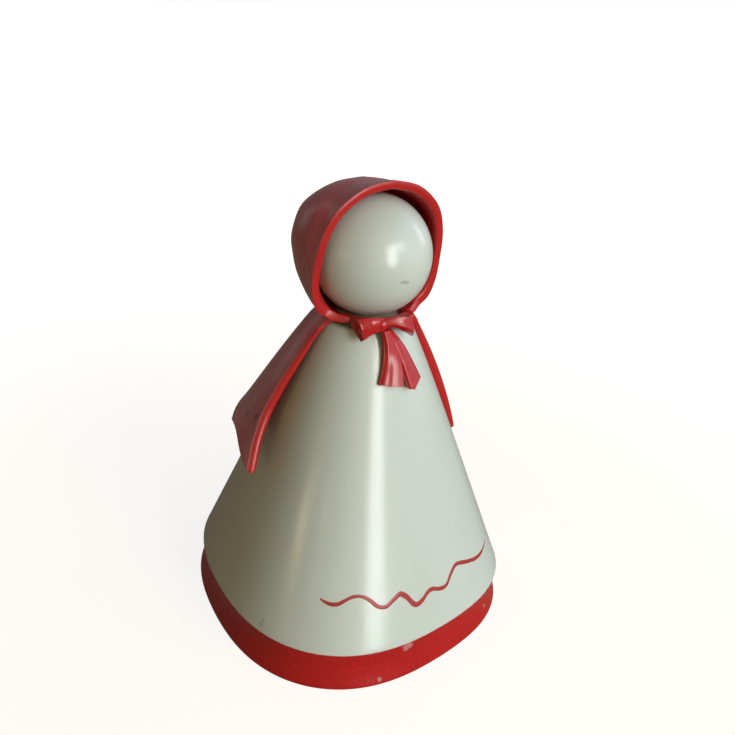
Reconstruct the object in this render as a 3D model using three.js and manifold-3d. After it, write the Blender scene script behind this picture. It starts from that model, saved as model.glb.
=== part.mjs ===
// A hooded doll of moulded plastic: a hollow cone skirt on a base, a ball head, a hood, a cape and a bow.
// Millimetres, +Z up. The skirt's flat front faces -Y, and the doll's own right is on the -X side.
// The origin is on the neck axis, on the flat underside of the base.
import * as THREE from 'three';
import { mergeVertices } from 'three/addons/utils/BufferGeometryUtils.js';
import loadManifold from 'manifold-3d';

const wasm = await loadManifold();
wasm.setup();

// Fits
const gap = 0.3; // between pieces that rest on each other or turn on each other
const freeGap = 0.6; // between the turning cape and the skirt's neck

// Skirt and base
const hemRadius = 58; // mean radius of the skirt's lower edge
const hemLobes = [0.03, 0.022, -0.042, -0.023]; // shares of the radius in 1 to 4 waves round the plan
const skirtTop = 113.5;
const neckRadius = 16.9;
const neckRounding = 0.033; // share of the narrowing that gathers near the neck
const skirtWall = 2;
const deckThickness = 2;
const deckEdge = 1.5; // rounding between the skirt and its deck
const lipRounding = 1;
const bandHeight = 13.5;
const bandFlare = 0.8; // the band's foot stands out past the skirt's lip
const bandRecess = 1.2; // and its top draws in under the lip
const bandWaist = [0.3, 0.6]; // shares of its height between which it draws in
const floorThickness = 2;
const floorEdge = 0.7; // rounding of the foot
const floorFillet = 2.2;
const upstandHeight = 6; // above the band, inside the skirt
const upstandWall = 2;
const bandWall = 4.5;

// Neck post and its clip
const shankRadius = 6;
const shankDrop = 13; // below the skirt's top
const flangeRadius = 11.4;
const flangeHeight = 1.9;
const spigotRadius = 4.3;
const headStopOut = 1.8; // of the stop inside the head past the spigot
const headStopThickness = 2;
const clipThickness = 1.8;
const clipWidth = 5;
const clipGroove = 0.8;
const clipSlot = 7.6;

// Head
const headRadius = 21.2;
const headWall = 1.8;
const headFlat = 1.5; // depth of the flat that the ball sits on
const headFloor = 2.2; // thickness over that flat
const headSeamSetback = 2; // the seam of the two halves lies behind the ball's centre
const seamGap = 0.1;

// Shoulder unit: cape, collar, bow and hood
const unitTurn = -10; // degrees about the neck, against the skirt's front, as photographed
const capeRingThickness = 1.4;
const capeNeckOut = 3.1; // the cape's outside past the neck radius, where it starts to flare
const capeNeckDrop = 2.1; // and how far that is below the skirt's top
const capeHemRadius = 44.9;
const capeHemHeight = 61.2; // of the front corners
const capeSwell = 17.8; // how far the flare's control point stands out from its start
const capeSwellDrop = 26.7;
const capeNeckWall = 1.5;
const capeWall = 3.1;
const capeFront = 5.5; // the front edges lie ahead of the neck axis
const capeFade = 2; // how quickly the folds and scallops fade towards the neck
const capeScallops = 5; // from one front edge round the back to the other
const capeScallopRise = 4.2;
const capeRearRise = 6.2; // of the hem's other points above the front corners
const capeFoldDepth = 0.7;
const capeRearSwell = 0.4; // extra radius of the hem behind the first scallops
const collarHeight = 2.4;
const collarWall = 4;
const collarStandOut = 1.1; // past the cape's ring
const collarEdge = 0.5;
const pegRadius = 0.8;
const pegInset = 1.7; // of the pegs from the ring's outer edge
const hoodPegAngles = [-140, 180, 140]; // from the face
const collarPegAngles = [-45, 45];
const hoodWall = 2.9;
const hoodAboveHead = 1; // of the level where the hood is widest, above the head's centre
const rimHalfWidth = 25.6;
const rimRise = 26.6; // of the rim's top above that level
const rimForward = 6.4; // of the rim ahead of the neck axis at that level
const rimLean = 0.137; // forward per millimetre of height
const rimFootForward = 2; // how far the rim's foot bends forward again
const hoodHalfWidth = 26;
const hoodRise = 24.3;
const hoodDepth = 28.2; // behind the neck axis
const hoodFullness = 2.3; // of its back: 2 is an ellipse, more is boxier
const neckHoleHeight = 4; // of the hole in the hood's foot
const bowTurn = -14; // degrees round the collar from the face
const knotWidth = 4.2;
const knotHeight = 4.4;
const knotDepth = 2.6;
const knotRise = 1.3; // of its centre above the collar's middle
const loopReaches = { right: -9.2, left: 11.2 }; // round the collar, from the knot's centre
const loopRootWidth = 3.2;
const loopEndWidth = 7.8;
const loopThickness = 2.4;
const loopEndDrop = 2.6;
const loopStandOff = 1.2; // of a loop's end from the collar
const tailLength = 20.4; // below the knot's centre, as a height
const tailThickness = 1.6;
const bowPegDepth = 2.4; // in the collar
const tailStandOff = 1.1; // of the tails' ends from the skirt
const tailEndsAcross = [2, 12]; // where each of the two tails ends round the neck
const tailRootWidths = [4.4, 2.6];
const tailEndWidths = [8.4, 7.6];
const tailExtraLengths = [0, 0.6];

// Colours and finishes
const red = { color: 0xb4191c, roughness: 0.25, metalness: 0 };
const cream = { color: 0xcdd6c5, roughness: 0.28, metalness: 0 };

// Mesh steps round a turned piece, and the overlap of a cutting tool past the piece that it cuts
const turnSteps = 72;
const headSteps = 40;
const hoodSteps = 52;
const postSteps = 32;
const pegSteps = 20;
const toolReach = 1;

// Levels and radii that follow from the sizes above
const hemHeight = bandHeight + gap;
const ringBottom = skirtTop + gap;
const ringTop = ringBottom + capeRingThickness;
const flangeTop = ringBottom + flangeHeight;
const headSeat = flangeTop + gap;
const headCentre = headSeat - headFlat + headRadius;
const headFloorTop = headSeat + headFloor;
const hoodLevel = headCentre + hoodAboveHead;
const unitSeat = ringTop + gap; // the collar and the hood stand here
const ringInner = flangeRadius + freeGap;
const ringOuter = neckRadius;
const pegCircle = ringOuter - pegInset;
const collarOuter = ringOuter + collarStandOut;
const collarTop = unitSeat + collarHeight;
const collarMiddle = (unitSeat + collarTop) / 2;
const knotCentre = collarMiddle + knotRise;

// A geometry as a solid, with its faces turned outwards
function solidOf(geometry) {
  const bare = geometry.clone();
  bare.deleteAttribute('normal');
  bare.deleteAttribute('uv');
  const merged = mergeVertices(bare, 1e-4);
  const place = merged.getAttribute('position');
  const corner = new THREE.Vector3();
  const faces = [];
  let volume = 0;
  for (let i = 0; i < merged.index.count; i += 3) {
    const face = [0, 1, 2].map((k) => merged.index.getX(i + k));
    if (face[0] === face[1] || face[1] === face[2] || face[2] === face[0]) continue;
    const [a, b, c] = face.map((v) => new THREE.Vector3().fromBufferAttribute(place, v));
    volume += a.dot(corner.crossVectors(b, c));
    faces.push(face);
  }
  const triVerts = new Uint32Array(faces.flatMap((f) => (volume < 0 ? [f[0], f[2], f[1]] : f)));
  const vertProperties = new Float32Array(place.array);
  return new wasm.Manifold(new wasm.Mesh({ numProp: 3, vertProperties, triVerts }));
}

function geometryOf(solid) {
  const mesh = solid.getMesh();
  const geometry = new THREE.BufferGeometry();
  geometry.setAttribute('position', new THREE.BufferAttribute(mesh.vertProperties, 3));
  geometry.setIndex(new THREE.BufferAttribute(mesh.triVerts, 1));
  geometry.computeVertexNormals();
  return geometry;
}

function joined(...geometries) {
  return geometryOf(geometries.map(solidOf).reduce((all, next) => all.add(next)));
}

function cut(geometry, ...tools) {
  return geometryOf(tools.map(solidOf).reduce((left, tool) => left.subtract(tool), solidOf(geometry)));
}

function kept(geometry, tool) {
  return geometryOf(solidOf(geometry).intersect(solidOf(tool)));
}

// Moves every vertex to where the given function puts it
function warped(geometry, move) {
  const place = geometry.getAttribute('position');
  for (let i = 0; i < place.count; i += 1) {
    place.setXYZ(i, ...move(place.getX(i), place.getY(i), place.getZ(i)));
  }
  return geometry;
}

// A profile of radius and height pairs turned about Z
function turned(profile, steps = turnSteps) {
  const points = profile.map(([r, z]) => new THREE.Vector2(r, z));
  return new THREE.LatheGeometry(points, steps).rotateX(Math.PI / 2);
}

// The same for a profile that goes round a bore
function turnedRing(profile, steps = turnSteps) {
  return turned([...profile, profile[0]], steps);
}

function ringBetween(inner, outer, bottom, top, steps = turnSteps) {
  return turnedRing([[inner, bottom], [outer, bottom], [outer, top], [inner, top]], steps);
}

function disc(radius, bottom, top, steps = postSteps) {
  return turned([[0, bottom], [radius, bottom], [radius, top], [0, top]], steps);
}

function block(x0, x1, y0, y1, z0, z1) {
  const box = new THREE.BoxGeometry(x1 - x0, y1 - y0, z1 - z0);
  return box.translate((x0 + x1) / 2, (y0 + y1) / 2, (z0 + z1) / 2);
}

function pegAt(radius, angle, bottom, top, size) {
  const turn = THREE.MathUtils.degToRad(angle);
  const peg = disc(size, bottom, top, pegSteps);
  return peg.translate(radius * Math.sin(turn), -radius * Math.cos(turn), 0);
}

// Rising share of the way from the skirt's hem to its neck
function skirtShare(z) {
  return THREE.MathUtils.clamp((z - hemHeight) / (skirtTop - hemHeight), 0, 1);
}

function skirtRadius(z) {
  const share = skirtShare(z);
  const narrowing = (1 - neckRounding) * share + neckRounding * share ** 6;
  return hemRadius - (hemRadius - neckRadius) * narrowing;
}

// The plan is a rounded triangle at the hem and round at the neck
function planned(x, y, z) {
  const fromFront = Math.atan2(x, -y);
  const lobes = hemLobes.reduce((sum, size, i) => sum + size * Math.cos((i + 1) * fromFront), 0);
  const scale = 1 + (lobes * hemRadius * (1 - skirtShare(z))) / skirtRadius(z);
  return [x * scale, y * scale, z];
}

function levels(from, to, count) {
  return Array.from({ length: count + 1 }, (_, i) => from + ((to - from) * i) / count);
}

function basePan() {
  const upstandOuter = (z) => skirtRadius(z) - skirtWall - gap;
  const upstandTop = bandHeight + upstandHeight;
  const profile = [
    [0, 0],
    [hemRadius + bandFlare - floorEdge, 0],
    [hemRadius + bandFlare - floorEdge * 0.3, floorEdge * 0.3],
    [hemRadius + bandFlare, floorEdge],
    [hemRadius + (bandFlare - bandRecess) / 2, bandHeight * bandWaist[0]],
    [hemRadius - bandRecess, bandHeight * bandWaist[1]],
    [hemRadius - bandRecess, bandHeight],
    [upstandOuter(bandHeight), bandHeight],
    [upstandOuter(upstandTop), upstandTop],
    [upstandOuter(upstandTop) - upstandWall, upstandTop],
    [hemRadius - bandWall, floorThickness + floorFillet],
    [hemRadius - bandWall - floorFillet, floorThickness],
    [0, floorThickness],
  ];
  return warped(turned(profile), planned);
}

function skirtShell() {
  const innerTop = skirtTop - deckThickness;
  const outerTop = skirtTop - deckEdge;
  const outside = levels(hemHeight + lipRounding, outerTop, 8).map((z) => [skirtRadius(z), z]);
  const inside = levels(innerTop, hemHeight, 5).map((z) => [skirtRadius(z) - skirtWall, z]);
  const profile = [
    [skirtRadius(hemHeight) - lipRounding, hemHeight],
    [skirtRadius(hemHeight) - lipRounding * 0.3, hemHeight + lipRounding * 0.3],
    ...outside,
    [skirtRadius(skirtTop) - deckEdge * 0.3, skirtTop - deckEdge * 0.3],
    [skirtRadius(skirtTop) - deckEdge, skirtTop],
    [shankRadius + gap, skirtTop],
    [shankRadius + gap, innerTop],
    ...inside,
  ];
  return warped(turnedRing(profile), planned);
}

function neckPost() {
  const clipTop = skirtTop - deckThickness - gap;
  const grooveTop = clipTop + gap / 2;
  const grooveBottom = clipTop - clipThickness - gap;
  const profile = [
    [0, skirtTop - shankDrop],
    [shankRadius, skirtTop - shankDrop],
    [shankRadius, grooveBottom],
    [shankRadius - clipGroove, grooveBottom],
    [shankRadius - clipGroove, grooveTop],
    [shankRadius, grooveTop],
    [shankRadius, ringBottom],
    [flangeRadius, ringBottom],
    [flangeRadius, flangeTop],
    [spigotRadius, flangeTop],
    [spigotRadius, headFloorTop + gap],
    [spigotRadius + headStopOut, headFloorTop + gap],
    [spigotRadius + headStopOut, headFloorTop + gap + headStopThickness],
    [0, headFloorTop + gap + headStopThickness],
  ];
  return turned(profile, postSteps);
}

function neckClip() {
  const top = skirtTop - deckThickness - gap;
  const inner = shankRadius - clipGroove + gap;
  const ring = ringBetween(inner, inner + clipWidth, top - clipThickness, top, postSteps);
  const reach = inner + clipWidth + toolReach;
  return cut(ring, block(0, reach, -clipSlot / 2, clipSlot / 2, 0, skirtTop));
}

// The whole hollow ball, with the flat that it sits on and the hole for the post
function headBall() {
  const arc = (radius, from, to, count) => levels(from, to, count).map((turn) => [
    radius * Math.cos(turn),
    headCentre + radius * Math.sin(turn),
  ]);
  const inner = headRadius - headWall;
  const flatTurn = -Math.asin((headRadius - headFlat) / headRadius);
  const floorTurn = -Math.asin((headCentre - headFloorTop) / inner);
  const hole = spigotRadius + gap;
  const profile = [
    [hole, headSeat],
    ...arc(headRadius, flatTurn, Math.PI / 2, 16),
    ...arc(inner, Math.PI / 2, floorTurn, 9),
    [hole, headFloorTop],
    [hole, headSeat],
  ];
  return turned(profile, headSteps);
}

function headHalf(isFront) {
  const reach = headRadius + toolReach;
  const seam = headSeamSetback + (isFront ? 0 : seamGap);
  const y0 = isFront ? -reach : seam;
  const y1 = isFront ? seam : reach;
  return kept(headBall(), block(-reach, reach, y0, y1, headSeat - toolReach, headCentre + reach));
}

// Outside of the cape, from where it leaves the neck to its hem
const capeStart = new THREE.Vector2(neckRadius + capeNeckOut, skirtTop - capeNeckDrop);
const capeSwellPoint = new THREE.Vector2(capeStart.x + capeSwell, capeStart.y - capeSwellDrop);
const capeEnd = new THREE.Vector2(capeHemRadius, capeHemHeight);

function capeFlare(wallAtNeck, wallAtHem) {
  const inwards = (point, wall) => new THREE.Vector2(point.x - wall, point.y);
  return new THREE.QuadraticBezierCurve(
    inwards(capeStart, wallAtNeck),
    inwards(capeSwellPoint, wallAtHem),
    inwards(capeEnd, wallAtHem),
  ).getPoints(7).map((point) => [point.x, point.y]);
}

// The hem hangs in pointed scallops, each point on a soft fold, and both fade out towards the neck
const capeEdgeTurn = Math.acos(capeFront / capeHemRadius);
const scallopTurn = (2 * (Math.PI - capeEdgeTurn)) / capeScallops;
const stepsPerScallop = 10;

function draped(x, y, z) {
  const drop = THREE.MathUtils.clamp((capeStart.y - z) / (capeStart.y - capeHemHeight), 0, 1);
  const fromEdge = (Math.abs(Math.atan2(x, -y)) - capeEdgeTurn) / scallopTurn;
  const wave = Math.PI * fromEdge;
  const behind = THREE.MathUtils.smoothstep(fromEdge, 0, 1);
  const raised = capeScallopRise * Math.abs(Math.sin(wave)) + capeRearRise * behind;
  const rise = raised * drop ** (capeFade + 1);
  const fold = capeFoldDepth * Math.cos(2 * wave) * drop ** capeFade;
  const swell = capeRearSwell * behind * drop;
  const radius = Math.hypot(x, y);
  const scale = (radius + fold + swell) / radius;
  return [x * scale, y * scale, z + rise];
}

// Pegs of the hood and the collar, or with more radius and reach their holes through the cape's ring
function pegs(angles, size, bottom) {
  return angles.map((angle) => pegAt(pegCircle, angle, bottom, unitSeat + toolReach, size));
}

function cape() {
  const profile = [
    [ringInner, ringBottom],
    [neckRadius - deckEdge + gap, ringBottom],
    ...capeFlare(capeNeckWall, capeWall),
    ...capeFlare(0, 0).reverse(),
    [ringOuter, ringTop],
    [ringInner, ringTop],
  ];
  const reach = capeHemRadius + capeWall;
  const front = block(-reach, reach, -reach, -capeFront, capeHemHeight - toolReach, ringTop + toolReach);
  const ring = disc(ringOuter, ringBottom - gap / 2, ringTop + 2 * toolReach, turnSteps);
  const steps = Math.round((2 * Math.PI * stepsPerScallop) / scallopTurn);
  const whole = turnedRing(profile, steps).rotateZ(capeEdgeTurn);
  const shell = cut(warped(whole, draped), cut(front, ring));
  return cut(shell, ...pegs([...hoodPegAngles, ...collarPegAngles], pegRadius + gap, ringBottom - gap));
}

// How far the hood's rim is ahead of the neck axis at a height
function rimAhead(z) {
  const drop = Math.max(0, hoodLevel - z) / (hoodLevel - unitSeat);
  return rimForward + rimLean * (z - hoodLevel) + rimFootForward * drop ** 2;
}

function collar() {
  const inner = collarOuter - collarWall;
  const ring = turnedRing([
    [inner, unitSeat],
    [collarOuter - collarEdge, unitSeat],
    [collarOuter, unitSeat + collarEdge],
    [collarOuter, collarTop - collarEdge],
    [collarOuter - collarEdge, collarTop],
    [inner, collarTop],
  ]);
  const reach = collarOuter + toolReach;
  const back = -rimAhead(collarTop) - gap;
  const behind = block(-reach, reach, back, reach, unitSeat - toolReach, collarTop + toolReach);
  const arc = joined(cut(ring, behind), ...pegs(collarPegAngles, pegRadius, ringBottom));
  return cut(arc, bowPeg(pegRadius + gap));
}

// From the knot back into the collar
function bowPeg(size) {
  const back = collarOuter - bowPegDepth;
  const front = collarOuter + knotDepth / 2;
  const peg = new THREE.CylinderGeometry(size, size, front - back, pegSteps);
  peg.translate(0, -(front + back) / 2, collarMiddle);
  return peg.rotateZ(THREE.MathUtils.degToRad(bowTurn));
}

// A ribbon bent round the neck axis: along(s) gives its place round the neck, height and stand off, and
// across(s) its width, for s from 0 at its root to 1 at its end
function ribbon(along, across, thickness, backRadius) {
  const sheet = new THREE.BoxGeometry(1, 1, 1, 4, 8, 1);
  return warped(sheet, (x, y, z) => {
    const share = 0.5 - y;
    const here = along(share);
    const next = along(share + 0.01);
    const run = Math.hypot(next.round - here.round, next.height - here.height);
    const side = x * across(share);
    const round = here.round - (side * (next.height - here.height)) / run;
    const height = here.height + (side * (next.round - here.round)) / run;
    const radius = backRadius(height) + here.off + (z + 0.5) * thickness;
    const turn = round / backRadius(height);
    return [radius * Math.sin(turn), -radius * Math.cos(turn), height];
  });
}

const mixed = THREE.MathUtils.lerp;

function bowLoop(reach) {
  const along = (s) => ({
    round: mixed(Math.sign(reach) * knotWidth * 0.3, reach, s),
    height: knotCentre - loopEndDrop * s ** 2,
    off: gap + loopStandOff * s,
  });
  const across = (s) => mixed(loopRootWidth, loopEndWidth, Math.sqrt(s));
  return ribbon(along, across, loopThickness, () => collarOuter);
}

function bowTail(i) {
  const backRadius = (z) => skirtRadius(z);
  const rootOff = collarOuter + gap - skirtRadius(knotCentre);
  const along = (s) => ({
    round: tailEndsAcross[i] * s,
    height: knotCentre - s * (tailLength + tailExtraLengths[i]),
    off: mixed(rootOff, tailStandOff, Math.min(1, 2 * s)),
  });
  return ribbon(along, (s) => mixed(tailRootWidths[i], tailEndWidths[i], s), tailThickness, backRadius);
}

function bow() {
  const knot = new THREE.SphereGeometry(1, 16, 10);
  knot.scale(knotWidth / 2, knotDepth / 2, knotHeight / 2);
  knot.translate(0, -(collarOuter + gap + knotDepth / 2), knotCentre);
  const soft = joined(knot, ...Object.values(loopReaches).map(bowLoop), bowTail(0), bowTail(1));
  return joined(soft.rotateZ(THREE.MathUtils.degToRad(bowTurn)), bowPeg(pegRadius));
}

// Half outlines of the hood seen from the front, from the top to below its seat: shares of the half width,
// and of the rise above the widest level or the drop to the seat
const rimOutline = [
  [0, 1], [0.42, 0.91], [0.78, 0.64], [0.95, 0.27], [1, -0.19], [0.99, -0.55],
  [0.91, -0.84], [0.73, -1], [0.58, -1.2], [0.4, -1.38], [0, -1.45],
];
const bodyOutline = [
  [0, 1], [0.33, 0.95], [0.65, 0.8], [0.88, 0.58], [1, 0.16], [0.96, -0.2],
  [0.87, -0.55], [0.66, -1], [0.52, -1.1], [0.3, -1.14], [0, -1.15],
];

function outlineCurve(points, halfWidth, rise) {
  const drop = hoodLevel - unitSeat;
  const placed = points.map(([w, h]) => new THREE.Vector2(w * halfWidth, h * (h > 0 ? rise : drop)));
  return new THREE.SplineCurve(placed);
}

const rimCurve = outlineCurve(rimOutline, rimHalfWidth, rimRise);
const bodyCurve = outlineCurve(bodyOutline, hoodHalfWidth, hoodRise);

// Takes a cup turned about Z to the hood: its closed end is the back, one unit deep, and its mouth the rim
function hooded(x, y, z) {
  const share = Math.abs(Math.atan2(x, -y)) / Math.PI;
  const side = Math.sign(x) || 1;
  const reach = Math.hypot(x, y) / hoodHalfWidth;
  const ahead = Math.max(0, z);
  const body = bodyCurve.getPoint(share);
  const rim = rimCurve.getPoint(share);
  const width = mixed(body.x, rim.x, ahead) * reach;
  const height = hoodLevel + mixed(body.y, rim.y, ahead) * reach;
  const forward = z > 0 ? z * rimAhead(height) : z * hoodDepth;
  return [side * width, -forward, height];
}

function hood() {
  const bend = 2 / hoodFullness;
  const shellArc = (radius, depth, count) => levels(0, Math.PI / 2, count).map((turn) => [
    radius * Math.sin(turn) ** bend,
    -depth * Math.cos(turn) ** bend,
  ]);
  const innerRadius = hoodHalfWidth - hoodWall;
  const innerDepth = (hoodDepth - hoodWall) / hoodDepth;
  const profile = [
    ...shellArc(hoodHalfWidth, 1, 10),
    [hoodHalfWidth, 0.5],
    [hoodHalfWidth, 1],
    [innerRadius, 1],
    [innerRadius, 0.5],
    ...shellArc(innerRadius, innerDepth, 7).reverse(),
  ];
  const cup = warped(turned(profile, hoodSteps), hooded);
  const reach = hoodDepth + toolReach;
  const half = ringOuter - hoodWall;
  const holeTop = unitSeat + neckHoleHeight;
  const under = block(-reach, reach, -reach, reach, skirtTop - reach, unitSeat);
  const neckHole = disc(half, unitSeat - toolReach, holeTop, turnSteps);
  const throat = block(-half, half, -reach, 0, unitSeat - toolReach, holeTop);
  return joined(cut(cup, under, neckHole, throat), ...pegs(hoodPegAngles, pegRadius, ringBottom));
}

function piece(name, geometry, finish) {
  const mesh = new THREE.Mesh(geometry, new THREE.MeshStandardMaterial(finish));
  mesh.name = name;
  return mesh;
}

const doll = new THREE.Group();
doll.add(
  piece('base_pan', basePan(), red),
  piece('skirt_shell', skirtShell(), cream),
  piece('neck_post', neckPost(), cream),
  piece('neck_clip', neckClip(), cream),
);

const upper = new THREE.Group();
upper.rotation.z = THREE.MathUtils.degToRad(unitTurn);
upper.add(
  piece('head_front', headHalf(true), cream),
  piece('head_back', headHalf(false), cream),
  piece('cape', cape(), red),
  piece('collar', collar(), red),
  piece('bow', bow(), red),
  piece('hood', hood(), red),
);
doll.add(upper);

export default doll;
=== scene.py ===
import math

import bmesh
import bpy
from mathutils import Matrix, Vector, noise


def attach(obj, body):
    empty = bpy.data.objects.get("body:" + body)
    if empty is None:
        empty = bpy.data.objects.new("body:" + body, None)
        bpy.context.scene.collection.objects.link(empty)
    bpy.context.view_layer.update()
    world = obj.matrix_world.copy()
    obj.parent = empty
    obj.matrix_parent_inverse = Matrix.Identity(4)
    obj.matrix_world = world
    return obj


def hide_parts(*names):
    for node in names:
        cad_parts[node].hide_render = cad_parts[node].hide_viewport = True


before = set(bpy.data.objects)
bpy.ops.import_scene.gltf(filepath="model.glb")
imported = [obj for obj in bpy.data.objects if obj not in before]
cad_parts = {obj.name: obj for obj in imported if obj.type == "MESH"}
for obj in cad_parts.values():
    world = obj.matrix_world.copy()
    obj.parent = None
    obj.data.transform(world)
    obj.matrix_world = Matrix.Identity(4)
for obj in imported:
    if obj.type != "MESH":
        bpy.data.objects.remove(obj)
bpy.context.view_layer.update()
print("frame loaded:", len(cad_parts), "CAD nodes")

mm = 0.001  # the shapes below are worked out in millimetres and scaled at the end
mergeGap = 0.002  # millimetres, and so is the next
poleGap = 0.0001
cornerShare = 0.45  # the most of a side that a rounded corner takes up
unitTurn = -10.0  # degrees that the head and the shoulder unit are turned by at rest
bowTurn = unitTurn + 2

# helpers


def mix(a, b, share):
    return a + (b - a) * share


def clamp(value, low=0.0, high=1.0):
    return max(low, min(high, value))


def smooth(value, low, high):
    share = clamp((value - low) / (high - low))
    return share * share * (3 - 2 * share)


def spread(low, high, count):
    return [low + (high - low) * i / count for i in range(count + 1)]


def curveThrough(rows, share):
    # a smooth curve through rows of numbers
    place = clamp(share, 0, 0.999999) * (len(rows) - 1)
    i = int(place)
    t = place - i
    a, b, c, d = (rows[min(max(i + k, 0), len(rows) - 1)] for k in (-1, 0, 1, 2))
    return [0.5 * (2 * q + (r - p) * t + (2 * p - 5 * q + 4 * r - s) * t * t
                   + (3 * q - p - 3 * r + s) * t ** 3)
            for p, q, r, s in zip(a, b, c, d)]


def rounded(points, size, steps=4):
    # softens the inner corners of a wire of radius and height pairs
    out = [points[0]]
    for before, here, after in zip(points, points[1:], points[2:]):
        a, b, c = Vector(before), Vector(here), Vector(after)
        reach = min(size, (a - b).length * cornerShare, (c - b).length * cornerShare)
        p, q = b + (a - b).normalized() * reach, b + (c - b).normalized() * reach
        for t in spread(0, 1, steps):
            out.append(tuple(p * (1 - t) ** 2 + b * 2 * t * (1 - t) + q * t * t))
    out.append(points[-1])
    return out


def roundedLoop(points, size, steps=4):
    # the same for a closed wire
    return rounded([points[-1], *points, points[0]], size, steps)[1:-1]


def turnAbout(degrees):
    return Matrix.Rotation(math.radians(degrees), 3, "Z")


def everything(bm):
    return [*bm.verts, *bm.edges, *bm.faces]


def cutEdges(cut):
    return [e for e in cut["geom_cut"] if isinstance(e, bmesh.types.BMEdge)]


def spun(profile, steps, closed=False, start=0.0, sweep=360.0):
    # turns a wire of radius and height pairs about Z; angle 0 is the front, -Y
    bm = bmesh.new()
    verts = [bm.verts.new((0, -r, z)) for r, z in profile]
    pairs = list(zip(verts, verts[1:])) + ([(verts[-1], verts[0])] if closed else [])
    edges = [bm.edges.new(pair) for pair in pairs]
    bmesh.ops.rotate(bm, verts=verts, cent=(0, 0, 0), matrix=turnAbout(start))
    bmesh.ops.spin(bm, geom=verts + edges, cent=(0, 0, 0), axis=(0, 0, 1),
                   angle=math.radians(sweep), steps=steps, use_merge=sweep == 360.0,
                   use_duplicate=False)
    bmesh.ops.remove_doubles(bm, verts=bm.verts, dist=poleGap)
    if sweep != 360.0:
        bmesh.ops.holes_fill(bm, edges=[e for e in bm.edges if e.is_boundary], sides=0)
    return bm


def flatBox(across, up):
    # two gridded unit sheets, one below the other, joined at their edges
    bm = bmesh.new()
    bmesh.ops.create_grid(bm, x_segments=across, y_segments=up, size=0.5)
    back = bmesh.ops.duplicate(bm, geom=bm.faces[:])["geom"]
    backVerts = [v for v in back if isinstance(v, bmesh.types.BMVert)]
    bmesh.ops.translate(bm, verts=backVerts, vec=(0, 0, -1))
    bmesh.ops.bridge_loops(bm, edges=[e for e in bm.edges if e.is_boundary])
    bmesh.ops.recalc_face_normals(bm, faces=bm.faces)
    return bm


def warp(bm, move):
    for vert in bm.verts:
        vert.co = Vector(move(*vert.co))


def finishPiece(name, bm, body, material, nodes=(), turn=0.0, sharp=40.0):
    bmesh.ops.remove_doubles(bm, verts=bm.verts, dist=mergeGap)
    bmesh.ops.dissolve_degenerate(bm, dist=mergeGap, edges=bm.edges)
    bmesh.ops.recalc_face_normals(bm, faces=bm.faces)
    if bm.calc_volume(signed=True) < 0:
        bmesh.ops.reverse_faces(bm, faces=bm.faces)
    bmesh.ops.rotate(bm, verts=bm.verts, cent=(0, 0, 0), matrix=turnAbout(turn))
    bmesh.ops.scale(bm, verts=bm.verts, vec=(mm, mm, mm))
    mesh = bpy.data.meshes.new(name)
    bm.to_mesh(mesh)
    bm.free()
    mesh.shade_smooth()
    mesh.set_sharp_from_angle(angle=math.radians(sharp))
    piece = bpy.data.objects.new(name, mesh)
    bpy.context.scene.collection.objects.link(piece)
    mesh.materials.append(material)
    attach(piece, body)
    if nodes:
        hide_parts(*nodes)
    print("piece", name, len(mesh.polygons), "faces")


# nodes


def fill(tree, socket, value):
    if isinstance(value, bpy.types.NodeSocket):
        tree.links.new(value, socket)
    else:
        socket.default_value = value


def put(tree, kind, settings=None, **links):
    # one node, its settings and what feeds its sockets: i0 the first, Flow_Scale a named one
    node = tree.nodes.new(kind)
    for key, value in (settings or {}).items():
        setattr(node, key, value)
    for key, value in links.items():
        numbered = key[0] == "i" and key[1:].isdigit()
        fill(tree, node.inputs[int(key[1:]) if numbered else key.replace("_", " ")], value)
    return node


def mathNode(tree, operation, a, b=0.0, c=0.0, capped=False):
    settings = {"operation": operation, "use_clamp": capped}
    return put(tree, "ShaderNodeMath", settings, i0=a, i1=b, i2=c).outputs[0]


def times(tree, first, *others):
    for other in others:
        first = mathNode(tree, "MULTIPLY", first, other)
    return first


def absolute(tree, value):
    return mathNode(tree, "ABSOLUTE", value)


def rangeNode(tree, value, low, high, toLow=0.0, toHigh=1.0):
    ends = {"From_Min": low, "From_Max": high, "To_Min": toLow, "To_Max": toHigh}
    return put(tree, "ShaderNodeMapRange", {"interpolation_type": "SMOOTHSTEP"}, Value=value,
               **ends).outputs[0]


def noiseNode(tree, place, scale, detail=2.0, rough=0.5, bent=0.0):
    return put(tree, "ShaderNodeTexNoise", Vector=place, Scale=scale, Detail=detail,
               Roughness=rough, Distortion=bent).outputs["Fac"]


def vectorNode(tree, operation, a, b=(0.0, 0.0, 0.0)):
    return put(tree, "ShaderNodeVectorMath", {"operation": operation}, i0=a, i1=b).outputs


def blendColours(tree, share, a, b):
    node = tree.nodes.new("ShaderNodeMix")
    node.data_type = "RGBA"
    for place, value in ((0, share), (6, a), (7, b)):
        fill(tree, node.inputs[place], (*value, 1) if isinstance(value, tuple) else value)
    return node.outputs[2]


def groupOf(name, inputs, outputs):
    # all inputs but the vectors are given with their first value
    group = bpy.data.node_groups.new(name, "ShaderNodeTree")
    for label, value in inputs.items():
        kind = "NodeSocketVector" if value is None else "NodeSocketFloat"
        socket = group.interface.new_socket(name=label, in_out="INPUT", socket_type=kind)
        if value is not None:
            socket.default_value = value
    for label in outputs:
        group.interface.new_socket(name=label, in_out="OUTPUT", socket_type="NodeSocketFloat")
    given, out = group.nodes.new("NodeGroupInput"), group.nodes.new("NodeGroupOutput")
    return group, given.outputs, out.inputs


def useGroup(tree, group, **links):
    return put(tree, "ShaderNodeGroup", {"node_tree": group}, **links).outputs


# node groups

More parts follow.
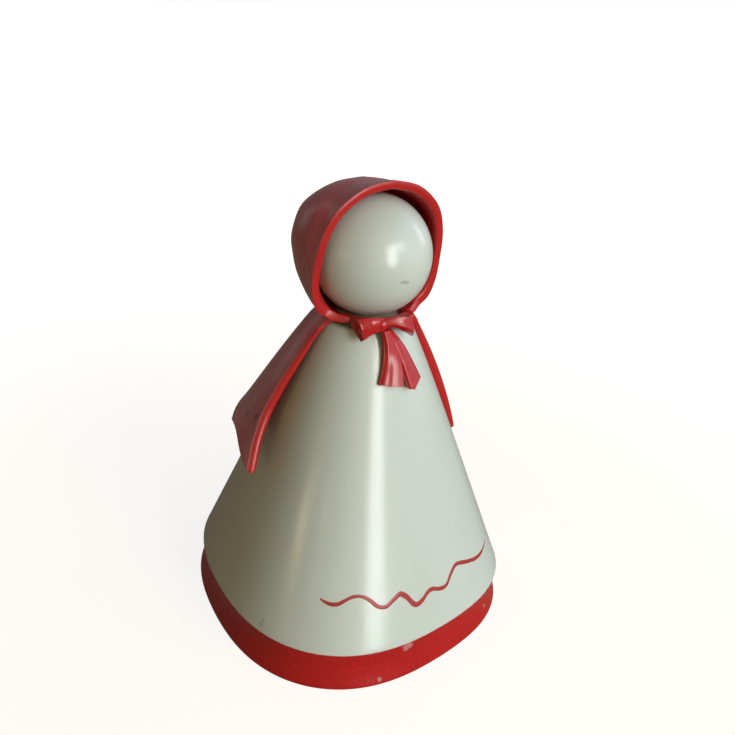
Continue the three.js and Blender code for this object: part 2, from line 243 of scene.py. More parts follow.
# a noise is its detail, roughness and bend, a cloud its scale, detail and roughness, and a reach is
# where a mask starts and is full, with its values there when they aren't 0 and 1
moulding = {"flow": (3.0, 0.55, 0.6), "flowReach": (0.3, 0.7), "grain": (2.0, 0.6)}


def makeMouldedSurface():
    # the faint flow marks and the grain of a moulded plastic wall
    tree, given, out = groupOf("mouldedSurface",
                               {"Vector": None, "Flow Scale": 60.0, "Grain Scale": 420.0},
                               ["Flow", "Grain", "Height"])
    flow = noiseNode(tree, given["Vector"], given["Flow Scale"], *moulding["flow"])
    wide = rangeNode(tree, flow, *moulding["flowReach"])
    grain = noiseNode(tree, given["Vector"], given["Grain Scale"], *moulding["grain"])
    tree.links.new(wide, out["Flow"])
    tree.links.new(grain, out["Grain"])
    tree.links.new(wide, out["Height"])
    return tree


handling = {
    "hairTurn": (0.5, 0.3, 0.7), "hairStretch": (1.0, 0.12, 1.0), "hairScale": 900.0,
    "hairReach": (0.68, 0.74), "patchScale": 45.0, "patchReach": (0.5, 0.66), "dotScale": 210.0,
    "dotReach": (0.05, 0.1), "rareReach": (0.86, 0.9),
}


def makeHandlingMarks():
    # fine scratches, and specks of dirt, that years of handling leave
    tree, given, out = groupOf("handlingMarks", {"Vector": None, "Scratches": 0.5, "Specks": 0.5},
                               ["Scratch", "Speck"])
    place = given["Vector"]
    turned = put(tree, "ShaderNodeMapping", Vector=place, Rotation=handling["hairTurn"],
                 Scale=handling["hairStretch"]).outputs[0]
    thin = rangeNode(tree, noiseNode(tree, turned, handling["hairScale"]), *handling["hairReach"])
    patchy = noiseNode(tree, place, handling["patchScale"])
    patch = rangeNode(tree, patchy, *handling["patchReach"])
    tree.links.new(times(tree, thin, patch, given["Scratches"]), out["Scratch"])
    dots = put(tree, "ShaderNodeTexVoronoi", {"feature": "F1"}, Vector=place,
               Scale=handling["dotScale"], Randomness=1.0).outputs
    dot = rangeNode(tree, dots["Distance"], *handling["dotReach"], 1.0, 0.0)
    chance = put(tree, "ShaderNodeSeparateColor", Color=dots["Color"]).outputs[0]
    rare = rangeNode(tree, chance, *handling["rareReach"])
    tree.links.new(times(tree, dot, rare, given["Specks"]), out["Speck"])
    return tree


localDetail = {"roundness": 0.35, "hardness": 14.0, "fade": 0.25, "torn": (4.0, 0.65)}


def makeLocalMark():
    # a ragged mark round one place on a surface
    tree, given, out = groupOf("localMark", {"Vector": None, "Place": None, "Size": 0.005,
                                             "Ragged": 700.0, "Cover": 0.5}, ["Mask"])
    away = vectorNode(tree, "DISTANCE", given["Vector"], given["Place"])["Value"]
    share = mathNode(tree, "DIVIDE", away, given["Size"])
    near = mathNode(tree, "SUBTRACT", 1.0, share, capped=True)
    torn = noiseNode(tree, given["Vector"], given["Ragged"], *localDetail["torn"])
    level = mathNode(tree, "SUBTRACT", 1.0, given["Cover"])
    raised = mathNode(tree, "ADD", times(tree, near, localDetail["roundness"]), torn)
    over = mathNode(tree, "SUBTRACT", raised, level)
    inked = mathNode(tree, "MULTIPLY", over, localDetail["hardness"], capped=True)
    tree.links.new(times(tree, inked, rangeNode(tree, near, 0.0, localDetail["fade"])), out["Mask"])
    return tree


bloomDetail = {"upReach": (-0.3, 0.9, 0.35, 1.0), "cloud": (120.0, 4.0, 0.6),
               "cloudReach": (0.2, 0.8, 0.6, 1.0)}


def makeDustBloom():
    # a thin grey bloom where a surface faces up
    tree, given, out = groupOf("dustBloom", {"Vector": None, "Normal": None, "Amount": 0.3},
                               ["Mask"])
    up = put(tree, "ShaderNodeSeparateXYZ", Vector=given["Normal"]).outputs["Z"]
    lying = rangeNode(tree, up, *bloomDetail["upReach"])
    cloudy = noiseNode(tree, given["Vector"], *bloomDetail["cloud"])
    cloud = rangeNode(tree, cloudy, *bloomDetail["cloudReach"])
    tree.links.new(times(tree, lying, cloud, given["Amount"]), out["Mask"])
    return tree


fadeAndSheenDetail = {"cloud": (55.0, 4.0, 0.6), "cloudReach": (0.25, 0.75, 0.55, 1.0),
              "outwardReach": (0.68, 0.92), "behindReach": (-0.6, -0.25)}


def makeOutsideFadeAndSheen():
    # the cloudy fading on the outside of a shell, away from its front, together with a painted
    # sheen for the pale reflection on that side
    tree, given, out = groupOf("outsideFadeAndSheen", {"Vector": None, "Normal": None, "Centre": None},
                               ["Mask"])
    away = vectorNode(tree, "SUBTRACT", given["Vector"], given["Centre"])[0]
    outward = vectorNode(tree, "NORMALIZE", away)[0]
    along = vectorNode(tree, "DOT_PRODUCT", outward, given["Normal"])["Value"]
    cloudy = noiseNode(tree, given["Vector"], *fadeAndSheenDetail["cloud"])
    cloud = rangeNode(tree, cloudy, *fadeAndSheenDetail["cloudReach"])
    behind = put(tree, "ShaderNodeSeparateXYZ", Vector=given["Normal"]).outputs["Y"]
    tree.links.new(times(tree, rangeNode(tree, along, *fadeAndSheenDetail["outwardReach"]), cloud,
                         rangeNode(tree, behind, *fadeAndSheenDetail["behindReach"])), out["Mask"])
    return tree


mouldedSurface = makeMouldedSurface()
handlingMarks = makeHandlingMarks()
localMark = makeLocalMark()
dustBloom = makeDustBloom()
outsideFadeAndSheen = makeOutsideFadeAndSheen()
print("node groups made")

# materials

finish = {"grainReach": (0.3, 0.7), "grainRoughness": 0.03, "scratchRoughness": 0.25,
          "bumpDistance": 0.0002}


def plastic(name, look):
    material = bpy.data.materials.new(name)
    material.use_nodes = True
    tree = material.node_tree
    shader = tree.nodes["Principled BSDF"]
    given = put(tree, "ShaderNodeTexCoord").outputs
    place, facing = given["Object"], given["Normal"]
    surface = useGroup(tree, mouldedSurface, Vector=place, Flow_Scale=look["flowScale"])
    marks = useGroup(tree, handlingMarks, Vector=place, Scratches=look["scratches"],
                     Specks=look["specks"])
    colour = blendColours(tree, surface["Flow"], look["deep"], look["colour"])
    if look.get("dust"):
        bloom = useGroup(tree, dustBloom, Vector=place, Normal=facing, Amount=look["dust"])
        colour = blendColours(tree, bloom["Mask"], colour, look["dustColour"])
    # fading and a painted sheen on the outside of a shell, away from its front
    if look.get("fadeAndSheen"):
        fadeAndSheenOut = useGroup(tree, outsideFadeAndSheen, Vector=place, Normal=facing, Centre=look["fadeAndSheenCentre"])
        share = times(tree, fadeAndSheenOut["Mask"], look["fadeAndSheen"])
        colour = blendColours(tree, share, colour, look["fadeAndSheenColour"])
    colour = blendColours(tree, marks["Scratch"], colour, look["scratchColour"])
    colour = blendColours(tree, marks["Speck"], colour, look["speckColour"])
    for mark in look.get("marks", []):
        spot = useGroup(tree, localMark, Vector=place, Place=mark["place"], Size=mark["size"],
                        Ragged=mark["ragged"], Cover=mark["cover"])
        share = times(tree, spot["Mask"], mark["strength"])
        colour = blendColours(tree, share, colour, mark["colour"])
    if look.get("extra"):
        colour = look["extra"](tree, place, colour)
    tree.links.new(colour, shader.inputs["Base Color"])
    low = look["roughness"] - finish["grainRoughness"]
    high = look["roughness"] + finish["grainRoughness"]
    rough = rangeNode(tree, surface["Grain"], *finish["grainReach"], low, high)
    rough = mathNode(tree, "ADD", rough, times(tree, marks["Scratch"], finish["scratchRoughness"]))
    tree.links.new(rough, shader.inputs["Roughness"])
    bump = put(tree, "ShaderNodeBump", Strength=look["bump"], Distance=finish["bumpDistance"],
               Height=surface["Height"])
    tree.links.new(bump.outputs[0], shader.inputs["Normal"])
    return material


creamLook = {
    "colour": (0.592, 0.637, 0.578), "deep": (0.567, 0.608, 0.545), "flowScale": 16.0,
    "roughness": 0.21, "bump": 0.06, "scratches": 0.08, "scratchColour": (0.72, 0.76, 0.68),
    "specks": 0.12, "speckColour": (0.2, 0.19, 0.13), "dust": 0.05, "dustColour": (0.5, 0.5, 0.42),
}
redLook = {
    "colour": (0.47, 0.0105, 0.0105), "deep": (0.43, 0.009, 0.0085), "flowScale": 40.0,
    "roughness": 0.26, "bump": 0.03, "scratches": 0.2, "scratchColour": (0.5, 0.12, 0.12),
    "specks": 0.3, "speckColour": (0.55, 0.35, 0.33), "dust": 0.05, "dustColour": (0.3, 0.12, 0.12),
    "fadeAndSheenColour": (0.66, 0.38, 0.45),
}
mouthLine = {
    "place": (-0.00335, -0.02068, 0.13241), "length": 0.0021, "height": 0.00058, "slope": 0.13,
    "bow": 60.0, "endFade": 0.6, "edgeFade": (0.4, 1.4), "depth": (0.003, 0.005),
    "strength": 0.5, "colour": (0.23, 0.2, 0.17),
}


def mouthDash(tree, place, colour):
    # the short faint line low on the face
    dash = mouthLine
    local = put(tree, "ShaderNodeMapping", {"vector_type": "TEXTURE"}, Vector=place,
                Location=dash["place"], Rotation=(0.0, 0.0, math.radians(unitTurn)))
    side, ahead, up = put(tree, "ShaderNodeSeparateXYZ", Vector=local.outputs[0]).outputs
    reach = (dash["length"] * dash["endFade"], dash["length"])
    across = rangeNode(tree, absolute(tree, side), *reach, 1.0, 0.0)
    bend = times(tree, side, side, dash["bow"])
    lean = mathNode(tree, "ADD", bend, times(tree, side, dash["slope"]))
    level = absolute(tree, mathNode(tree, "ADD", up, lean))
    reach = [dash["height"] * fade for fade in dash["edgeFade"]]
    upDown = rangeNode(tree, level, *reach, 1.0, 0.0)
    near = rangeNode(tree, absolute(tree, ahead), *dash["depth"], 1.0, 0.0)
    share = times(tree, across, upDown, near, dash["strength"])
    return blendColours(tree, share, colour, dash["colour"])


def markAt(place, across, strength, colour, ragged, cover):
    return {"place": place, "size": across, "strength": strength, "colour": colour,
            "ragged": ragged, "cover": cover}


skirtMarks = [markAt((-0.05427, -0.02035, 0.01662), 0.0028, 0.3, (0.2, 0.22, 0.13), 900.0, 0.36)]
baseChips = [markAt(place, 0.001, 0.6, (0.6, 0.4, 0.36), 1500.0, 0.45)
             for place in ((-0.02806, -0.05415, 0.00218), (0.02816, -0.05279, 0.00518))]
# a painted highlight: the window's reflection on the band's top edge, drawn as a pale smear
baseWindowHighlight = markAt((-0.0165, -0.0549, 0.012), 0.0032, 0.34, (0.78, 0.5, 0.52), 260.0, 0.46)
capeStains = [markAt(place, across, strength, (0.05, 0.02, 0.03), 350.0, 0.5)
              for place, across, strength in (((-0.0367, 0.0184, 0.0758), 0.0017, 0.45),
                                              ((-0.0377, 0.0109, 0.078), 0.0017, 0.4),
                                              ((-0.0333, 0.0208, 0.0796), 0.0012, 0.35))]

skirtCream = plastic("skirtCream", {**creamLook, "marks": skirtMarks})
headCream = plastic("headCream", {**creamLook, "roughness": 0.2, "extra": mouthDash})
# painted shade: the cream made darker and warmer for the shadow and red bounce light under the head
neckShadedCream = plastic("neckShadedCream", {**creamLook, "colour": (0.5, 0.41, 0.32),
                                  "deep": (0.46, 0.37, 0.28), "roughness": 0.45})
baseRed = plastic("baseRed", {**redLook, "dust": 0.0, "specks": 0.03, "scratches": 0.0,
                              "marks": [*baseChips, baseWindowHighlight]})
# the cape's and the hood's outsides get fading together with a painted sheen
capeRed = plastic("capeRed", {**redLook, "scratches": 0.5, "roughness": 0.34, "fadeAndSheen": 0.54,
                              "fadeAndSheenCentre": (0.0, 0.0, 0.05), "marks": capeStains})
hoodRed = plastic("hoodRed", {**redLook, "roughness": 0.32, "fadeAndSheen": 0.4,
                              "fadeAndSheenCentre": (0.0, 0.0, 0.135)})
tieRed = plastic("tieRed", {**redLook, "colour": (0.47, 0.014, 0.016), "roughness": 0.22,
                            "dust": 0.0})
paintRed = plastic("paintRed", {**redLook, "colour": (0.42, 0.035, 0.028),
                                "deep": (0.33, 0.025, 0.02), "flowScale": 500.0,
                                "roughness": 0.36, "dust": 0.0})
print("materials made")

# skirt

skirt = {
    "hem": 58.0, "lobes": (0.03, 0.022, -0.042, -0.023), "foot": 13.8, "footFlare": 0.05,
    "top": 113.5, "neck": 15.9, "rounding": 0.033, "roundingPower": 6, "wall": 2.0, "lip": 1.0,
    "deck": 2.0, "deckEdge": 1.5, "hole": 6.3, "edgeSteps": 5, "rowsOut": 40, "rowsIn": 20,
    "steps": 288,
}


def skirtShare(z):
    return clamp((z - skirt["foot"]) / (skirt["top"] - skirt["foot"]))


def skirtRadius(z):
    share, rounding = skirtShare(z), skirt["rounding"]
    narrowing = (1 - rounding) * share + rounding * share ** skirt["roundingPower"]
    return skirt["hem"] - (skirt["hem"] - skirt["neck"]) * narrowing


def skirtPlan(x, y, z):
    # the round plan becomes a rounded triangle towards the hem
    fromFront = math.atan2(x, -y)
    lobes = sum(height * math.cos((i + 1) * fromFront) for i, height in enumerate(skirt["lobes"]))
    scale = 1 + lobes * skirt["hem"] * (1 - skirtShare(z)) / skirtRadius(z)
    return x * scale, y * scale, z


def onSkirt(angle, z, out=0.0):
    # a point of the skirt's face, the angle in degrees from the front, -Y
    turn = math.radians(angle)
    radius = skirtRadius(z)
    x, y, z = skirtPlan(radius * math.sin(turn), -radius * math.cos(turn), z)
    grow = 1 + out / math.hypot(x, y)
    return Vector((x * grow, y * grow, z))


def makeSkirt():
    top, foot, wall = skirt["top"], skirt["foot"], skirt["wall"]
    under = top - skirt["deck"]
    outside = [(skirtRadius(z), z) for z in spread(foot, top, skirt["rowsOut"])][1:-1]
    inside = [(skirtRadius(z) - wall, z) for z in spread(under, foot, skirt["rowsIn"])]
    hem = [(skirtRadius(foot) - wall, foot), (skirtRadius(foot) + skirt["footFlare"], foot),
           outside[0]]
    deck = [outside[-1], (skirtRadius(top), top), (skirt["hole"], top), (skirt["hole"], under)]
    profile = [*rounded(hem, skirt["lip"], skirt["edgeSteps"])[1:-1], *outside[:-1],
               *rounded(deck, skirt["deckEdge"], skirt["edgeSteps"]), *inside]
    bm = spun(profile, skirt["steps"], closed=True)
    warp(bm, skirtPlan)
    finishPiece("skirt", bm, "skirt", skirtCream, ["skirt_shell"])


makeSkirt()
print("skirt made")

# the wavy line is a thin coat of paint, drawn by hand; each of its points is degrees from the
# front, height and width
wave = {
    "points": [(-50, 31.3, 0.3), (-49.3, 30.8, 0.7), (-46.3, 29.95, 1.2), (-43.5, 30.1, 1.3),
               (-40.8, 31.45, 1.1), (-38, 32.45, 1.1), (-35, 32.4, 1.1), (-32, 30.9, 1.25),
               (-28.9, 28.6, 1.3), (-25.8, 28, 1.4), (-22.4, 29.7, 1.6), (-19.7, 30.7, 1.7),
               (-17.1, 29.25, 1.8), (-14.6, 26.5, 1.8), (-12.4, 25.3, 1.8), (-9.8, 25.9, 1.6),
               (-6.4, 27.7, 1.5), (-3.6, 27.8, 1.4), (0, 26.65, 1.4), (3.6, 26.65, 1.3),
               (6.8, 29, 1.3), (10, 31, 1.4), (12.8, 31.2, 1.4), (18, 29.7, 1.4), (23.9, 28.1, 1.4),
               (28.5, 27.5, 1.3), (32.4, 27.5, 0.9), (37.7, 28.3, 0.4)],
    "thickness": 0.12, "sink": 0.05, "wobble": 0.16, "wobbleScale": 0.35, "ahead": 0.004,
    "steps": (420, 4),
}


def makeWave():
    def place(x, y, z):
        share = x + 0.5
        here = curveThrough(wave["points"], share)
        ahead = curveThrough(wave["points"], share + wave["ahead"])
        a, b = onSkirt(*here[:2]), onSkirt(*ahead[:2])
        along = b - a
        if along.length <= 1e-6:  # at the line's end
            along = a - onSkirt(*curveThrough(wave["points"], share - wave["ahead"])[:2])
        along.normalize()
        up = Vector((0, 0, 1))
        side = (up - along * up.dot(along)).normalized()
        hand = noise.noise(Vector((here[0] * wave["wobbleScale"], 3.0, y * 2)))
        point = a + side * (y * here[2] * (1 + wave["wobble"] * hand))
        coat = -wave["sink"] if z < 0 else wave["thickness"] * (1 - (2 * y) ** 4)
        return onSkirt(math.degrees(math.atan2(point.x, -point.y)), point.z, coat)

    bm = flatBox(*wave["steps"])
    warp(bm, place)
    finishPiece("wave_line", bm, "skirt", paintRed)


makeWave()
print("wave line made")

# base

base = {
    "height": 13.5, "flare": 0.8, "recess": 1.2, "floor": 2.0, "edge": 0.9, "slope": (0.3, 0.6),
    "upstand": 6.0, "upstandWall": 2.0, "wall": 4.5, "fillet": 2.2, "gap": 0.3,
}


def makeBase():
    hem, height, floor = skirt["hem"], base["height"], base["floor"]
    upTop = height + base["upstand"]
    upOut = [(skirtRadius(z) - skirt["wall"] - base["gap"], z) for z in (height, upTop)]
    low, high = base["slope"]
    band = [
        (0, 0),
        (hem + base["flare"], 0),
        (hem + base["flare"], base["edge"]),
        (hem + (base["flare"] - base["recess"]) / 2, height * low),
        (hem - base["recess"], height * high),
        (hem - base["recess"], height),
        *upOut,
        (upOut[1][0] - base["upstandWall"], upTop),
        (hem - base["wall"], floor + base["fillet"]),
        (hem - base["wall"] - base["fillet"], floor),
        (0, floor),
    ]
    bm = spun(rounded(band, base["edge"], skirt["edgeSteps"]), skirt["steps"])
    warp(bm, skirtPlan)
    finishPiece("hem_base", bm, "base", baseRed, ["base_pan"])


makeBase()
print("base made")

# head

head = {"radius": 21.2, "wall": 1.8, "seat": 116.0, "floorTop": 118.2, "hole": 4.6, "flat": 1.5,
        "seam": 2.0, "seamGap": 0.1, "rowsOut": 48, "rowsIn": 30, "steps": 128}
head["centre"] = head["seat"] - head["flat"] + head["radius"]


def headArc(radius, low, high, count):
    return [(radius * math.cos(t), head["centre"] + radius * math.sin(t))
            for t in spread(low, high, count)]


def makeHeadHalf(name, isFront, node):
    outer, inner = head["radius"], head["radius"] - head["wall"]
    low = -math.asin((outer - head["flat"]) / outer)
    floorTurn = -math.asin((head["centre"] - head["floorTop"]) / inner)
    profile = [(head["hole"], head["seat"]), *headArc(outer, low, math.pi / 2, head["rowsOut"]),
               *headArc(inner, math.pi / 2, floorTurn, head["rowsIn"]),
               (head["hole"], head["floorTop"])]
    bm = spun(profile, head["steps"], closed=True)
    seam = head["seam"] + (0 if isFront else head["seamGap"])
    cut = bmesh.ops.bisect_plane(bm, geom=everything(bm), plane_co=(0, seam, 0),
                                 plane_no=(0, 1 if isFront else -1, 0), clear_outer=True)
    bmesh.ops.triangle_fill(bm, edges=cutEdges(cut), use_beauty=True)
    finishPiece(name, bm, "head", headCream, [node], unitTurn, sharp=35)


makeHeadHalf("face_half", True, "head_front")
makeHeadHalf("back_half", False, "head_back")
print("head made")

# hood

hood = {
    "level": 136.7, "wall": 2.9, "rimHalfWidth": 25.6, "rimRise": 26.6, "rimForward": 6.4,
    "rimLean": 0.137, "rimCurl": 2.0, "halfWidth": 26.0, "rise": 24.3, "depth": 28.2,
    "fullness": 2.3, "seat": 115.5, "footForward": 4.2, "footWidths": (21.0, 12.0),
    "rowsOut": 40, "rowsIn": 30, "steps": 208,
    # half widths and heights, from the top round to the foot
    "rimOutline": [(0, 1), (0.42, 0.91), (0.78, 0.64), (0.95, 0.27), (1, -0.19), (0.985, -0.55),
                   (0.89, -0.83), (0.7, -0.975), (0.51, -1.035), (0.38, -1.14), (0, -1.45)],
    "bodyOutline": [(0, 1), (0.33, 0.95), (0.65, 0.8), (0.88, 0.58), (1, 0.16), (0.96, -0.2),
                    (0.87, -0.55), (0.66, -1), (0.52, -1.1), (0.3, -1.14), (0, -1.15)],
    # the rim's section: inset from each face and share of the way forward
    "lipOut": [(0, 0.2), (0, 0.4), (0, 0.6), (0, 0.8), (0, 0.93), (0.08, 0.98), (0.35, 1.0)],
    "lipIn": [(0.4, 1.0), (0.1, 0.98), (0, 0.93), (0, 0.7), (0, 0.5), (0, 0.25)],
}


def outlineRows(points, halfWidth, rise):
    drop = hood["level"] - hood["seat"]
    return [(w * halfWidth, h * (rise if h > 0 else drop)) for w, h in points]


rimRows = outlineRows(hood["rimOutline"], hood["rimHalfWidth"], hood["rimRise"])
bodyRows = outlineRows(hood["bodyOutline"], hood["halfWidth"], hood["rise"])


def rimAhead(z):
    drop = max(0.0, hood["level"] - z) / (hood["level"] - hood["seat"])
    return hood["rimForward"] + hood["rimLean"] * (z - hood["level"]) + hood["rimCurl"] * drop ** 2


def hooded(x, y, z):
    share = abs(math.atan2(x, -y)) / math.pi
    side = -1 if x < 0 else 1
    reach = math.hypot(x, y) / hood["halfWidth"]
    ahead = max(0.0, z)
    body, rim = curveThrough(bodyRows, share), curveThrough(rimRows, share)
    width = mix(body[0], rim[0], ahead) * reach
    height = hood["level"] + mix(body[1], rim[1], ahead) * reach
    forward = z * rimAhead(height) if z > 0 else z * hood["depth"]
    if rim[1] < 0:  # the rim's foot sweeps forward into the tie's band
        wide, narrow = hood["footWidths"]
        forward += hood["footForward"] * ahead * smooth(wide - rim[0], 0, wide - narrow)
    return side * width, -forward, height


def hoodArc(radius, deep, count):
    bend = 2 / hood["fullness"]
    return [(radius * math.sin(t) ** bend, -deep * math.cos(t) ** bend)
            for t in spread(0, math.pi / 2, count)]


def makeHood():
    outer, inner = hood["halfWidth"], hood["halfWidth"] - hood["wall"]
    deep = (hood["depth"] - hood["wall"]) / hood["depth"]
    profile = [*hoodArc(outer, 1, hood["rowsOut"]),
               *[(outer - inset, ahead) for inset, ahead in hood["lipOut"]],
               *[(inner + inset, ahead) for inset, ahead in hood["lipIn"]],
               *reversed(hoodArc(inner, deep, hood["rowsIn"]))]
    bm = spun(profile, hood["steps"])
    warp(bm, hooded)
    cut = bmesh.ops.bisect_plane(bm, geom=everything(bm), plane_co=(0, 0, hood["seat"]),
                                 plane_no=(0, 0, -1), clear_outer=True)
    bmesh.ops.triangle_fill(bm, edges=cutEdges(cut), use_beauty=True)
    finishPiece("hood_shell", bm, "shoulders", hoodRed, ["hood"], unitTurn, sharp=50)


makeHood()
print("hood made")

# cape

cape = {
    "start": (20.0, 111.4), "swell": 17.8, "swellDrop": 26.7, "hem": (44.9, 61.2),
    "neckWall": 1.5, "wall": 3.1, "front": 5.5, "scallops": 5, "rise": 4.2, "rearRise": 6.2,
    "fold": 0.7, "fade": 2, "rear": 0.4, "ring": (12.0, 16.9), "ringHeights": (113.8, 115.2),
    "ringFoot": 1.2, "corner": 0.35, "cornerSteps": 3, "rows": 30, "steps": 340,
    "edgeRound": 1.5, "edgeTip": 0.1, "edgeStart": 0.06,
    "edgeRows": (0.03, 0.12, 0.28, 0.5, 0.75, 1.0),
    # from the neck to the hem: how far the right front edge grows inwards, and the left one's
    # share of it; how many degrees the left front edge is swept back
    "edgeLip": [(1.0,), (2.1,), (2.6,), (2.4,), (1.2,), (0.4,)], "lipReach": (0.02, 0.3),
    "leftLip": 0.45,
    "leftBack": [(10.0,), (10.2,), (10.5,), (10.0,), (6.0,), (1.0,)], "backReach": (0.1, 1.3),
}
cape["edgeTurn"] = math.acos(cape["front"] / cape["hem"][0])
cape["scallopTurn"] = 2 * (math.pi - cape["edgeTurn"]) / cape["scallops"]


def capeFlare(neckWall, hemWall, count):
    a = Vector((cape["start"][0] - neckWall, cape["start"][1]))
    b = Vector((cape["start"][0] + cape["swell"] - hemWall, cape["start"][1] - cape["swellDrop"]))
    c = Vector((cape["hem"][0] - hemWall, cape["hem"][1]))
    return [tuple(a * (1 - t) ** 2 + b * 2 * t * (1 - t) + c * t * t) for t in spread(0, 1, count)]


capeFace = capeFlare(0, 0, 2 * cape["rows"])


def capeOuter(z):
    # the radius of the outer face at a height
    for (r, high), (s, low) in zip(capeFace, capeFace[1:]):
        if z >= low:
            return mix(s, r, clamp((z - low) / (high - low)))
    return capeFace[-1][0]


def capeDrop(z):
    return (cape["start"][1] - z) / (cape["start"][1] - cape["hem"][1])


def scallopsFromEdge(x, y):
    return (abs(math.atan2(x, -y)) - cape["edgeTurn"]) / cape["scallopTurn"]


def capeWall(drop):
    return mix(cape["wall"], cape["neckWall"], (1 - drop) ** 2)


def edgeLip(x, drop):
    return curveThrough(cape["edgeLip"], drop)[0] * (1 if x > 0 else cape["leftLip"])


def draped(x, y, z):
    drop = clamp(capeDrop(z))
    fromEdge = scallopsFromEdge(x, y)
    turn = math.pi * fromEdge
    behind = smooth(fromEdge, 0, 1)
    raised = cape["rise"] * abs(math.sin(turn)) + cape["rearRise"] * behind
    rise = raised * drop ** (cape["fade"] + 1)
    fold = cape["fold"] * math.cos(2 * turn) * drop ** cape["fade"]
    swell = cape["rear"] * behind * drop
    radius = math.hypot(x, y)
    # the front edges are thicker on their inner side, towards the skirt
    inner = smooth(capeOuter(z) - radius, 0, capeWall(drop)) if drop > 0 else 0.0
    lip = edgeLip(x, drop) * inner * (1 - smooth(fromEdge, *cape["lipReach"]))
    scale = (radius + fold + swell - lip) / radius
    return x * scale, y * scale, z + rise


def edgeRounded(x, y, z):
    # the wall narrows to a round lip along the cut
    drop = capeDrop(z)
    inside = y + cape["front"]
    if drop <= 0 or inside > cape["edgeRound"]:
        return x, y, z
    drop = min(drop, 1)
    thick = capeWall(drop) + edgeLip(x, drop)
    middle = capeOuter(z) + cape["fold"] * drop ** cape["fade"] - thick / 2
    middle = math.copysign(math.sqrt(middle ** 2 - y ** 2), x)
    share = math.sqrt(1 - (1 - clamp(inside / cape["edgeRound"])) ** 2)
    narrow = mix(1, max(share, cape["edgeTip"]), smooth(drop, 0, cape["edgeStart"]))
    return middle + (x - middle) * narrow, y, z


def edgeSwept(x, y, z):
    # the left front edge hangs further back than the right one
    if x > 0:
        return x, y, z
    near = 1 - smooth(scallopsFromEdge(x, y), *cape["backReach"])
    back = -math.radians(curveThrough(cape["leftBack"], clamp(capeDrop(z)))[0]) * near
    return x * math.cos(back) - y * math.sin(back), x * math.sin(back) + y * math.cos(back), z


def makeCape():
    low, high = cape["ringHeights"]
    inner, outer = cape["ring"]
    profile = roundedLoop([(inner, low), (outer - cape["ringFoot"], low),
                           *capeFlare(cape["neckWall"], cape["wall"], cape["rows"]),
                           *reversed(capeFlare(0, 0, cape["rows"])), (outer, high), (inner, high)],
                          cape["corner"], cape["cornerSteps"])
    bm = spun(profile, cape["steps"], closed=True)
    warp(bm, draped)
    cut = bmesh.ops.bisect_plane(bm, geom=everything(bm), plane_co=(0, -cape["front"], 0),
                                 plane_no=(0, -1, 0), clear_outer=True)
    bmesh.ops.holes_fill(bm, edges=cutEdges(cut), sides=0)
    for share in cape["edgeRows"]:
        bmesh.ops.bisect_plane(bm, geom=everything(bm), plane_no=(0, -1, 0),
                               plane_co=(0, share * cape["edgeRound"] - cape["front"], 0))
    warp(bm, edgeRounded)
    bmesh.ops.triangulate(bm, faces=[f for f in bm.faces if len(f.verts) > 4])
    warp(bm, edgeSwept)
    finishPiece("cape_shell", bm, "shoulders", capeRed, ["cape"], unitTurn, sharp=50)


makeCape()
print("cape made")

# collar and bow

collar = {"inner": 14.0, "outer": 18.0, "low": 115.5, "high": 117.9, "edge": 0.6,
          "taper": (32.0, 66.0), "endHeight": 0.55, "endDraw": 3.4, "behindRim": 0.3, "steps": 96}


def makeCollar():
    inner, outer, low, high = (collar[k] for k in ("inner", "outer", "low", "high"))
    sweep = math.degrees(math.acos((rimAhead(high) + collar["behindRim"]) / outer))
    profile = roundedLoop([(inner, low), (outer, low), (outer, high), (inner, high)],
                          collar["edge"])
    bm = spun(profile, collar["steps"], closed=True, start=-sweep, sweep=2 * sweep)

    def tapered(x, y, z):
        # its ends sink and draw in, under the foot of the hood's rim
        share = smooth(abs(math.degrees(math.atan2(x, -y))), *collar["taper"])
        scale = 1 - share * collar["endDraw"] / outer
        return x * scale, y * scale, low + (z - low) * mix(1, collar["endHeight"], share)

    warp(bm, tapered)
    finishPiece("tie_band", bm, "shoulders", tieRed, ["collar"], unitTurn, sharp=50)


makeCollar()
print("collar made")

